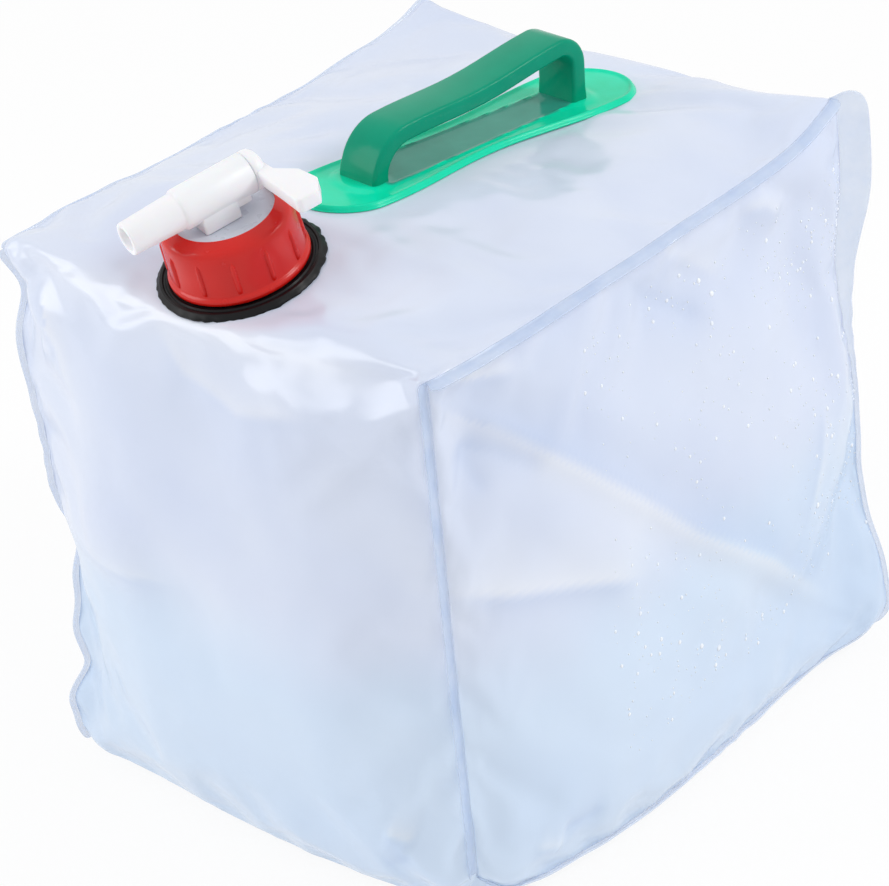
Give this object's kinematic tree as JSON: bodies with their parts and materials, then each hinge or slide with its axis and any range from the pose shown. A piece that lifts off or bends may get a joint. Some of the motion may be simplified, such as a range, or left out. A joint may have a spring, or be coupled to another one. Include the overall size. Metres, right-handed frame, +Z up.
{
  "type": "collapsible water carrier",
  "caption": "Clear film water carrier, shown full, with a screw neck, a tap with a side lever, and a carrying handle. It folds down flat when empty.",
  "frame": {"origin": "on the ground under the middle of the filled bag", "axes": "+Z up, -Y towards the end of the top that carries the tap, +X towards the lever's side"},
  "size_m": [0.278, 0.3231, 0.3274],
  "materials": {
    "clear_film": "gloss",
    "black_plastic": "gloss",
    "washer_rubber": "matte",
    "red_plastic": "gloss",
    "white_plastic": "satin",
    "mint_plastic": "gloss",
    "green_plastic": "gloss"
  },
  "bodies": {
    "bag": {"bottom_panel": "clear_film", "front_panel": "clear_film", "back_panel": "clear_film", "left_gusset": "clear_film", "right_gusset": "clear_film", "left_bottom_weld": "clear_film", "right_bottom_weld": "clear_film", "left_front_weld": "clear_film", "right_front_weld": "clear_film", "left_back_weld": "clear_film", "right_back_weld": "clear_film"},
    "top": {"top_panel": "clear_film", "left_top_weld": "clear_film", "right_top_weld": "clear_film", "neck_fitment": "black_plastic", "handle_plate": "mint_plastic", "handle_grip": "green_plastic"},
    "seal": {"seal_washer": "washer_rubber"},
    "collar": {"screw_collar": "red_plastic"},
    "tap": {"tap_body": "white_plastic"},
    "plug": {"tap_plug": "white_plastic"}
  },
  "joints": [
    {"name": "bag_collapse", "type": "slide", "parent": "bag", "child": "top", "axis": [0, 0, -1], "range_m": [0, 0.215], "deforming": ["front_panel", "back_panel", "left_gusset", "right_gusset", "left_front_weld", "right_front_weld", "left_back_weld", "right_back_weld"]},
    {"name": "spigot_rise", "type": "slide", "parent": "top", "child": "seal", "axis": [0, -0.1994, 0.9799], "range_m": [0, 0.021]},
    {"name": "collar_turn", "type": "hinge", "parent": "seal", "child": "collar", "pos_m": [-0.004, -0.11444, 0.29264], "axis": [0, -0.1994, 0.9799], "range_deg": [0, 1260]},
    {"name": "tap_swivel", "type": "hinge", "parent": "seal", "child": "tap", "pos_m": [-0.004, -0.1161, 0.30077], "axis": [0, -0.1994, 0.9799], "continuous": true},
    {"name": "tap_lever", "type": "hinge", "parent": "tap", "child": "plug", "pos_m": [-0.004, -0.11883, 0.3142], "axis": [-0.2924, -0.9371, -0.1907], "range_deg": [0, 90]}
  ],
  "couplings": [
    {"joint": "spigot_rise", "follows": "collar_turn", "m_per_rad": 0.00095493}
  ]
}
